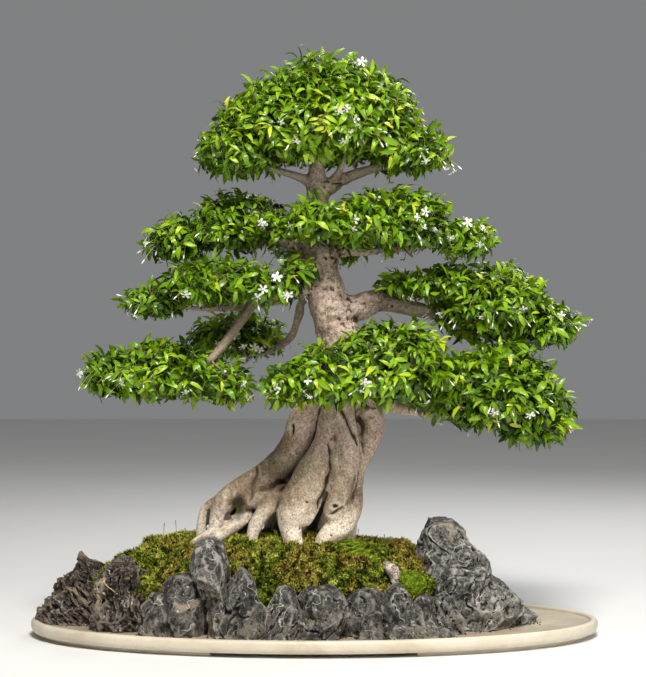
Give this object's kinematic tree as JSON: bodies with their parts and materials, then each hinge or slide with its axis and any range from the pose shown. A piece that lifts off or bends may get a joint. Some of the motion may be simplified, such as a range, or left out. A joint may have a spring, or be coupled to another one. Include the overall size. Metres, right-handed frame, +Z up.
{
  "type": "water jasmine bonsai",
  "caption": "Bonsai tree with exposed twisting roots and layered leafy pads, on a mossy mound ringed by craggy rocks in a shallow oval marble tray.",
  "frame": {"origin": "under the middle of the oval tray, on the surface that it stands on", "axes": "+X to the right along the tray, +Y to the back, +Z up"},
  "size_m": [0.904, 0.486, 0.933],
  "materials": {
    "tray": "honed cream marble",
    "soil": "soil covered in moss",
    "bark": "pale grey smooth bark",
    "foliage": "glossy small leaves with white flowers",
    "rock": "rough dark limestone with white veins",
    "stone_pale": "rough"
  },
  "bodies": {
    "root": {"tray": "tray", "soil_mound": "soil", "tree_wood": "bark", "stone_pale": "stone_pale", "foliage_crown": "foliage", "foliage_left_upper": "foliage", "foliage_left_mid": "foliage", "foliage_left_low": "foliage", "foliage_back_left": "foliage", "foliage_right_upper": "foliage", "foliage_right_mid": "foliage", "foliage_right_low": "foliage", "foliage_front_low": "foliage", "foliage_back_low": "foliage", "foliage_back_upper": "foliage", "rock_ridge_left": "rock", "rock_toe_left": "rock", "rock_slab_left": "rock", "rock_dark_small": "rock", "rock_leaning": "rock", "rock_head_tall": "rock", "rock_front_peak": "rock", "rock_front_twin": "rock", "rock_front_block": "rock", "rock_front_low": "rock", "rock_front_chip": "rock", "rock_front_spire": "rock", "rock_wedge": "rock", "rock_tower": "rock", "rock_shoulder": "rock", "rock_front_wedge": "rock", "rock_flat_front": "rock", "rock_toe_right": "rock", "rock_back_1": "rock", "rock_back_2": "rock", "rock_back_3": "rock", "rock_back_4": "rock", "rock_back_5": "rock", "rock_back_6": "rock", "rock_back_7": "rock", "rock_back_8": "rock"}
  },
  "joints": []
}
